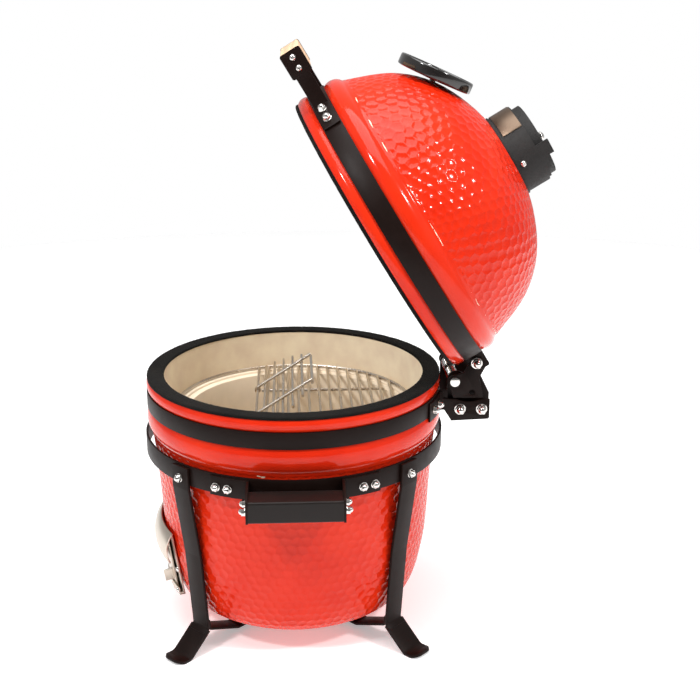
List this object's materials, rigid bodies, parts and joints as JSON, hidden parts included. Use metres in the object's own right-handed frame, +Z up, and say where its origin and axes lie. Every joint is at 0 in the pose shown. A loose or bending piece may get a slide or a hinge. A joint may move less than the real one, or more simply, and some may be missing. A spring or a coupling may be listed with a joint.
{
  "type": "kamado ceramic grill",
  "caption": "Compact egg-shaped ceramic charcoal grill with a hinged domed lid, a top vent and a draft door, on a low steel stand with side handles.",
  "frame": {"origin": "on the ground under the middle of the open grill's box; the bowl's axis is 71.7 mm in front of it", "axes": "+Z up, -Y the front with the draft door and the lid handle, +Y the hinge, +X the right-hand grip"},
  "size_m": [0.496, 0.5525, 0.7873],
  "materials": {
    "glazed_ceramic": "glossy dimpled glaze",
    "felt": "matt felt",
    "firebrick": "unglazed",
    "stainless": "satin",
    "black_steel": "satin powder coat",
    "bright_fastener": "polished",
    "grip_black": "satin",
    "silicone": "matt",
    "wood": "oiled light hardwood",
    "cast_iron": "rough black paint",
    "bronze_plate": "brushed, warm tint",
    "dial_face": "matt white",
    "needle_red": "matt red",
    "case_black": "gloss black",
    "glass": "clear"
  },
  "bodies": {
    "base": {"base_shell": "glazed_ceramic", "base_gasket": "felt", "base_band": "black_steel", "firebox": "firebrick", "fire_ring": "firebrick", "fire_grate": "stainless", "cooking_grid": "stainless", "draft_frame": "stainless", "draft_screws": "bright_fastener", "stand_ring": "black_steel", "leg_front_right": "black_steel", "leg_back_right": "black_steel", "leg_back_left": "black_steel", "leg_front_left": "black_steel", "stand_cross": "black_steel", "bowl_pad": "silicone", "leg_bolts": "bright_fastener", "bracket_right_front": "black_steel", "bracket_right_back": "black_steel", "bracket_left_front": "black_steel", "bracket_left_back": "black_steel", "side_grip_right": "grip_black", "side_grip_left": "grip_black", "bracket_bolts": "bright_fastener", "grip_bolts": "bright_fastener", "hinge_plate_right": "black_steel", "hinge_plate_left": "black_steel", "hinge_cradle": "black_steel", "hinge_spacers": "black_steel", "hinge_anchor_bolts": "bright_fastener", "strap_bolts": "bright_fastener", "hinge_pin": "bright_fastener", "hinge_spring_right": "bright_fastener", "hinge_spring_left": "bright_fastener"},
    "lid": {"lid_shell": "glazed_ceramic", "lid_gasket": "felt", "lid_band": "black_steel", "lid_plate_right": "black_steel", "lid_plate_left": "black_steel", "lid_ear_bolts": "bright_fastener", "handle_arm_right": "black_steel", "handle_arm_left": "black_steel", "lid_handle": "wood", "handle_screws": "bright_fastener", "handle_bolts": "bright_fastener", "vent_base": "cast_iron", "name_plate": "bronze_plate", "vent_screws": "bright_fastener", "thermo_case": "case_black", "thermo_dial": "dial_face", "thermo_lens": "glass", "thermo_stem": "bright_fastener", "thermo_nut": "bright_fastener"},
    "grid_flap": {"grid_flap": "stainless"},
    "draft_door": {"draft_door": "stainless"},
    "mesh_screen": {"mesh_screen": "stainless"},
    "vent_cap": {"vent_cap": "cast_iron", "vent_knob": "bright_fastener"},
    "needle": {"thermo_needle": "needle_red"}
  },
  "joints": [
    {"name": "lid_hinge", "type": "hinge", "parent": "base", "child": "lid", "pos_m": [0, 0.1443, 0.347], "axis": [1, 0, 0], "range_deg": [0, 58.7], "stiffness_Nm_per_rad": 29.2, "springref_deg": -8.71},
    {"name": "grid_flap_hinge", "type": "hinge", "parent": "base", "child": "grid_flap", "pos_m": [0, -0.1237, 0.3025], "axis": [1, 0, 0], "range_deg": [0, 147.5]},
    {"name": "draft_door_slide", "type": "hinge", "parent": "base", "child": "draft_door", "pos_m": [0, -0.0717, 0.1], "axis": [0, 0, 1], "range_deg": [-23, 0]},
    {"name": "mesh_screen_slide", "type": "hinge", "parent": "base", "child": "mesh_screen", "pos_m": [0, -0.0717, 0.1], "axis": [0, 0, 1], "range_deg": [0, 23]},
    {"name": "vent_cap_turn", "type": "hinge", "parent": "lid", "child": "vent_cap", "pos_m": [0, 0.23459, 0.65469], "axis": [0, 0.8545, 0.5195], "range_deg": [0, 60]},
    {"name": "needle_turn", "type": "hinge", "parent": "lid", "child": "needle", "pos_m": [0, 0.11556, 0.74759], "axis": [0, 0.4035, 0.915], "range_deg": [-250, 0], "stiffness_Nm_per_rad": 0.002}
  ]
}
